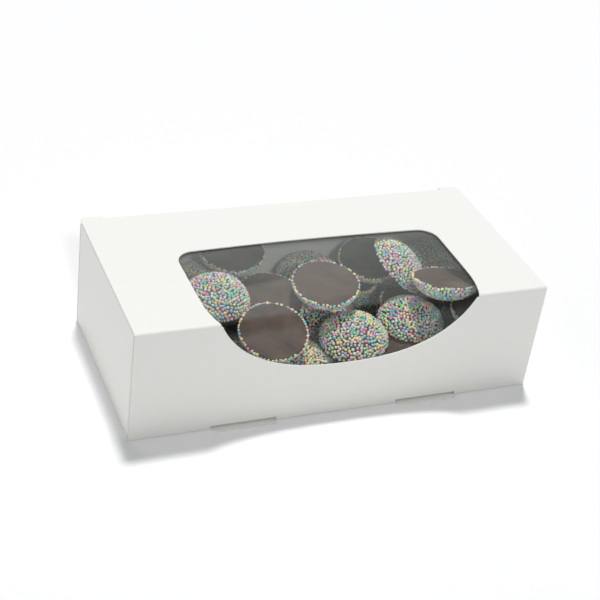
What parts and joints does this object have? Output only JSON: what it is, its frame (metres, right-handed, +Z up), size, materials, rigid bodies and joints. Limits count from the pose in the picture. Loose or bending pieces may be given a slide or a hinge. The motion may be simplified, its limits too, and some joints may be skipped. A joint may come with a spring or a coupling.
{
  "type": "candy box",
  "caption": "Low folded paperboard box with a hinged lid, a tuck front flap, a rounded film window over lid and front, and bead-topped chocolate candies inside",
  "frame": {"origin": "on the table, under the middle of the whole part with its front tongues and back ears", "axes": "+X along the box to the viewer's right, +Y from the front flap to the back hinge, +Z up"},
  "size_m": [0.1778, 0.0892, 0.0508],
  "materials": {
    "board": "white clay-coated paperboard, satin",
    "film": "clear, glossy",
    "chocolate": "dark chocolate, satin, with sugar beads on the domed side"
  },
  "bodies": {
    "tray": {"back_left_glue_tab": "board", "back_right_glue_tab": "board", "back_wall": "board", "bottom_panel": "board", "front_inner_wall": "board", "front_left_glue_tab": "board", "front_right_glue_tab": "board", "left_end_wall": "board", "right_end_wall": "board", "nonpareil_01": "chocolate", "nonpareil_02": "chocolate", "nonpareil_03": "chocolate", "nonpareil_04": "chocolate", "nonpareil_05": "chocolate", "nonpareil_06": "chocolate", "nonpareil_07": "chocolate", "nonpareil_08": "chocolate", "nonpareil_09": "chocolate", "nonpareil_10": "chocolate", "nonpareil_11": "chocolate", "nonpareil_12": "chocolate", "nonpareil_13": "chocolate", "nonpareil_14": "chocolate", "nonpareil_15": "chocolate", "nonpareil_16": "chocolate", "nonpareil_17": "chocolate", "nonpareil_18": "chocolate", "nonpareil_19": "chocolate", "nonpareil_20": "chocolate", "nonpareil_21": "chocolate", "nonpareil_22": "chocolate", "nonpareil_23": "chocolate", "nonpareil_24": "chocolate", "nonpareil_25": "chocolate", "nonpareil_26": "chocolate", "nonpareil_27": "chocolate", "nonpareil_28": "chocolate", "nonpareil_29": "chocolate", "nonpareil_30": "chocolate", "nonpareil_31": "chocolate", "nonpareil_32": "chocolate", "nonpareil_33": "chocolate", "nonpareil_34": "chocolate", "nonpareil_35": "chocolate", "nonpareil_36": "chocolate", "nonpareil_37": "chocolate", "nonpareil_38": "chocolate", "nonpareil_39": "chocolate", "nonpareil_40": "chocolate"},
    "lid": {"lid_panel": "board", "lid_window_film": "film"},
    "front_flap": {"front_flap": "board", "flap_window_film": "film"},
    "left_lock": {"left_lock_tab": "board"},
    "right_lock": {"right_lock_tab": "board"}
  },
  "joints": [
    {"name": "lid_hinge", "type": "hinge", "parent": "tray", "child": "lid", "pos_m": [0, 0.0432, 0.05055], "axis": [-1, 0, 0], "range_deg": [0, 120]},
    {"name": "flap_fold", "type": "hinge", "parent": "lid", "child": "front_flap", "pos_m": [0, -0.042, 0.05055], "axis": [-1, 0, 0], "range_deg": [0, 90]},
    {"name": "left_lock_fold", "type": "hinge", "parent": "front_flap", "child": "left_lock", "pos_m": [-0.0409, -0.042, 0.00145], "axis": [-1, 0, 0], "range_deg": [0, 90]},
    {"name": "right_lock_fold", "type": "hinge", "parent": "front_flap", "child": "right_lock", "pos_m": [0.0409, -0.042, 0.00145], "axis": [-1, 0, 0], "range_deg": [0, 90]}
  ],
  "couplings": [
    {"joint": "left_lock_fold", "follows": "flap_fold", "ratio": 1},
    {"joint": "right_lock_fold", "follows": "flap_fold", "ratio": 1}
  ]
}
